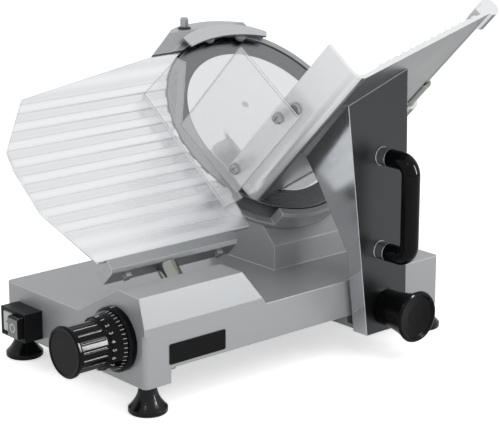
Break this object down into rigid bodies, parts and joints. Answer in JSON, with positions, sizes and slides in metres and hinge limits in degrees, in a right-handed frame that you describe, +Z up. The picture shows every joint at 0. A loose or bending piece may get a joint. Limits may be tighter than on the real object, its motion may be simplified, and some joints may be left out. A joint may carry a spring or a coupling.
{
  "type": "electric food slicer",
  "caption": "Gravity-feed electric food slicer: tilted round blade in a ring, dial-set gauge plate, and a sliding food tray with hand guard and pusher on an arm.",
  "frame": {"origin": "on the ground below the middle of the outline", "axes": "+X to the side of the carriage handle, +Y to the back along the carriage, +Z up"},
  "size_m": [0.3926, 0.574, 0.398],
  "materials": {
    "cast_aluminium": "satin silver lacquer on cast aluminium",
    "polished_aluminium": "polished casting",
    "brushed_aluminium": "brushed and anodised",
    "sheet_steel": "grey painted sheet",
    "blade_steel": "fine ground",
    "polished_steel": "polished",
    "steel": "zinc plated",
    "rubber": "matte",
    "black_plastic": "glossy moulded",
    "dark_plastic": "satin moulded",
    "light_button": "satin moulded",
    "grey_button": "satin moulded",
    "clear_plastic": "clear, polished",
    "motor_paint": "black enamel",
    "bronze": "sintered bronze",
    "grinding_stone": "fine grit"
  },
  "bodies": {
    "base": {"base_casting": "cast_aluminium", "bottom_cover": "sheet_steel", "cover_screws": "steel", "feet": "rubber", "foot_screws": "steel", "blade_ring": "cast_aluminium", "ring_bolts": "steel", "shaft_bearings": "steel", "drive_belt": "rubber", "motor": "motor_paint", "motor_bracket": "cast_aluminium", "capacitor": "sheet_steel", "switch_housing": "dark_plastic", "dial_bezel": "black_plastic", "gauge_rod": "polished_steel", "carriage_rod": "polished_steel", "guide_bar": "steel", "stop_collars": "steel", "sharpener_hood": "cast_aluminium", "sharpener_stones": "grinding_stone", "cord_gland": "dark_plastic"},
    "blade": {"blade_shaft": "steel", "blade": "blade_steel", "blade_cover": "polished_steel", "cover_disc_screws": "steel", "blade_pulley": "steel"},
    "motor_rotor": {"motor_pulley": "steel", "motor_shaft": "steel"},
    "dial": {"dial_knob": "black_plastic", "dial_cam": "steel"},
    "gauge": {"gauge_plate": "brushed_aluminium", "gauge_bracket": "brushed_aluminium", "gauge_bolts": "steel", "gauge_post": "polished_steel", "gauge_slider": "cast_aluminium"},
    "carriage": {"carriage_foot": "cast_aluminium", "slide_bushes": "bronze", "carriage_arm": "polished_aluminium", "handle": "black_plastic", "handle_bolts": "steel", "food_tray": "polished_aluminium", "tray_bolts": "steel", "hand_guard": "clear_plastic", "guard_spacers": "steel", "guard_screws": "steel", "pusher_rod": "polished_steel"},
    "clamp": {"clamp_knob": "black_plastic"},
    "pusher_slider": {"pusher_sleeve": "polished_steel"},
    "pusher": {"pusher_arm": "polished_aluminium", "pusher_plate": "polished_aluminium", "pusher_knob": "black_plastic"},
    "button_on": {"switch_button_on": "light_button"},
    "button_off": {"switch_button_off": "grey_button"},
    "sharpener_button": {"sharpener_pin": "polished_steel"}
  },
  "joints": [
    {"name": "carriage_slide", "type": "slide", "parent": "base", "child": "carriage", "axis": [0, 1, 0], "range_m": [-0.25, 0]},
    {"name": "blade_spin", "type": "hinge", "parent": "base", "child": "blade", "pos_m": [-0.05959, 0.0986, 0.24536], "axis": [0.7071, 0, 0.7071], "continuous": true},
    {"name": "motor_spin", "type": "hinge", "parent": "base", "child": "motor_rotor", "pos_m": [0.01466, 0.0986, 0.17111], "axis": [0.7071, 0, 0.7071], "continuous": true},
    {"name": "gauge_slide", "type": "slide", "parent": "base", "child": "gauge", "axis": [-0.7071, 0, -0.7071], "range_m": [0, 0.012]},
    {"name": "dial_turn", "type": "hinge", "parent": "base", "child": "dial", "pos_m": [0.06519, -0.218, 0.0758], "axis": [0, -1, 0], "range_deg": [0, 320]},
    {"name": "clamp_turn", "type": "hinge", "parent": "carriage", "child": "clamp", "pos_m": [0.14079, 0.114, 0.057], "axis": [1, 0, 0], "range_deg": [0, 360]},
    {"name": "pusher_slide", "type": "slide", "parent": "carriage", "child": "pusher_slider", "axis": [0.7071, 0, 0.7071], "range_m": [0, 0.105]},
    {"name": "pusher_swing", "type": "hinge", "parent": "pusher_slider", "child": "pusher", "pos_m": [-0.02441, 0.2715, 0.22192], "axis": [0.7071, 0, 0.7071], "range_deg": [-150, 0]},
    {"name": "switch_on_press", "type": "slide", "parent": "base", "child": "button_on", "axis": [0, 1, 0], "range_m": [0, 0.004], "stiffness_N_per_m": 800, "springref_m": -0.002},
    {"name": "switch_off_press", "type": "slide", "parent": "base", "child": "button_off", "axis": [0, 1, 0], "range_m": [0, 0.004], "stiffness_N_per_m": 800, "springref_m": -0.002},
    {"name": "sharpener_press", "type": "slide", "parent": "base", "child": "sharpener_button", "axis": [0, 0, -1], "range_m": [0, 0.005], "stiffness_N_per_m": 900, "springref_m": -0.002}
  ],
  "couplings": [
    {"joint": "motor_spin", "follows": "blade_spin", "ratio": 2.4286},
    {"joint": "dial_turn", "follows": "gauge_slide", "rad_per_m": 465.4}
  ]
}
